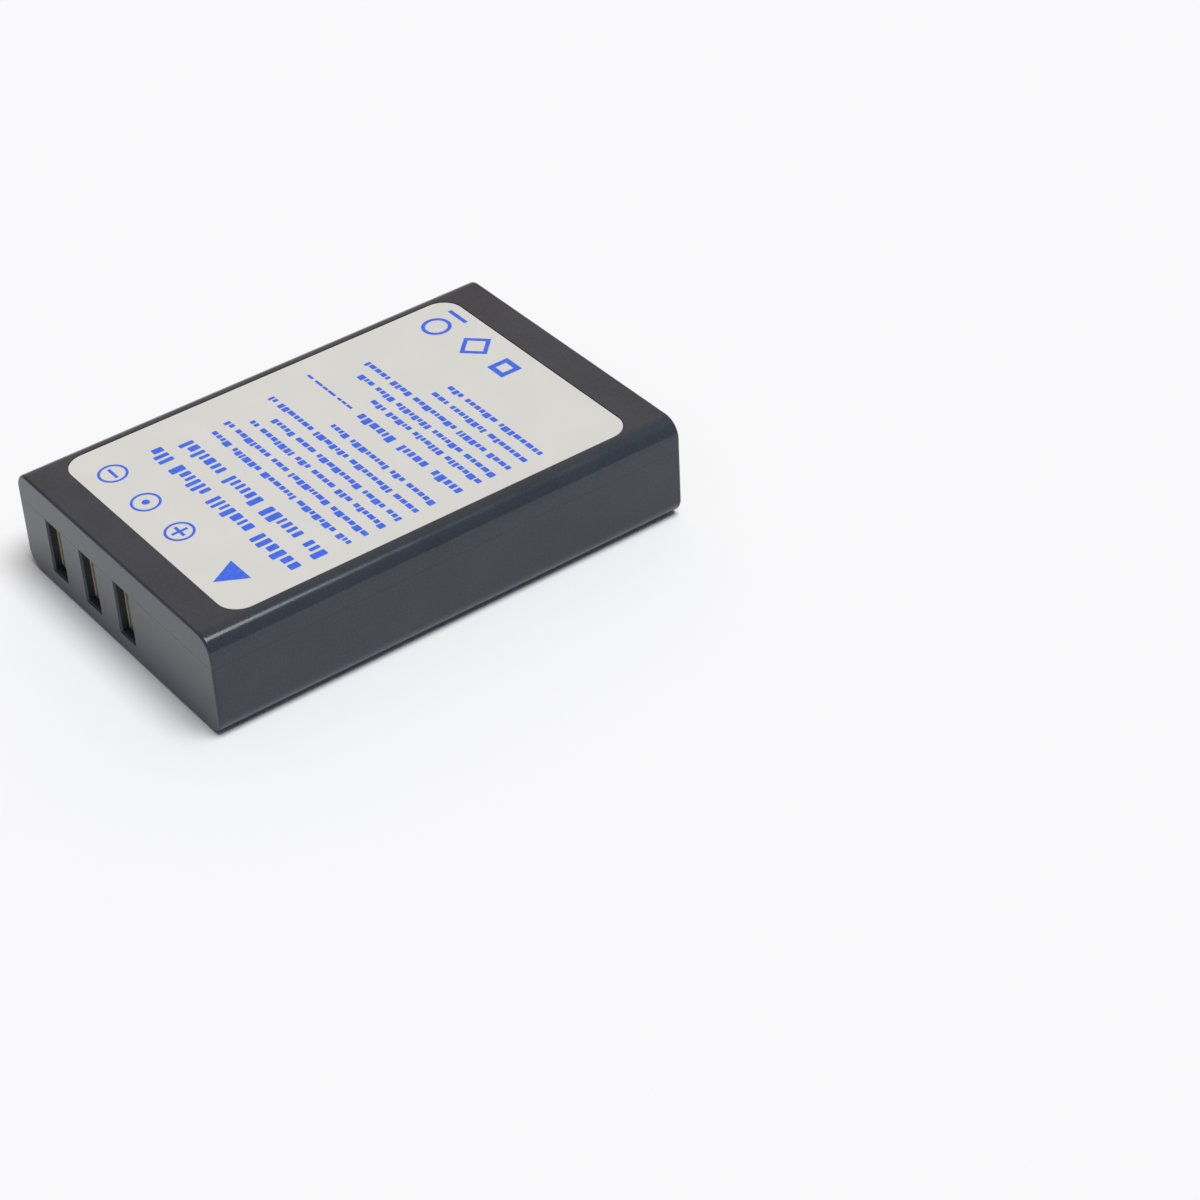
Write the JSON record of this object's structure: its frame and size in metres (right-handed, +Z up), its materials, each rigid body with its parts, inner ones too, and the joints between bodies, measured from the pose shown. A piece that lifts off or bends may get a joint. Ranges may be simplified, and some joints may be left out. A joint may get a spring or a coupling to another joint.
{
  "type": "camera battery",
  "caption": "Slim rectangular rechargeable camera battery: thin black two-part case with rounded long edges, pale label in a recess and contact slots off centre in one end.",
  "frame": {"origin": "centre of the underside, on the surface that the battery rests on", "axes": "+Z up through the label face, contact end faces -Y, X across the width with the slots towards -X"},
  "size_m": [0.0352, 0.053, 0.0111],
  "materials": {
    "case_plastic": "satin moulded",
    "label_film": "satin film",
    "label_ink": "printed",
    "contact_gold": "gold plated",
    "board_laminate": "solder mask",
    "cell_aluminium": "drawn",
    "gasket_nylon": "moulded",
    "plated_steel": "nickel plated",
    "insulator_paper": "pressed",
    "strip_nickel": "rolled",
    "chip_resin": "moulded",
    "chip_ceramic": "fired",
    "tape_film": "adhesive film"
  },
  "bodies": {
    "root": {"case_tray": "case_plastic", "case_lid": "case_plastic", "rating_label": "label_film", "contact_minus": "contact_gold", "contact_sense": "contact_gold", "contact_plus": "contact_gold", "circuit_board": "board_laminate", "cell_can": "cell_aluminium", "rivet_gasket": "gasket_nylon", "terminal_rivet": "plated_steel", "header_insulator": "insulator_paper", "negative_tab": "strip_nickel", "positive_tab": "strip_nickel", "protection_chip": "chip_resin", "mosfet_pair": "chip_resin", "thermistor": "chip_ceramic", "chip_resistors": "chip_ceramic", "chip_capacitors": "chip_ceramic", "cell_tape": "tape_film"}
  },
  "joints": []
}
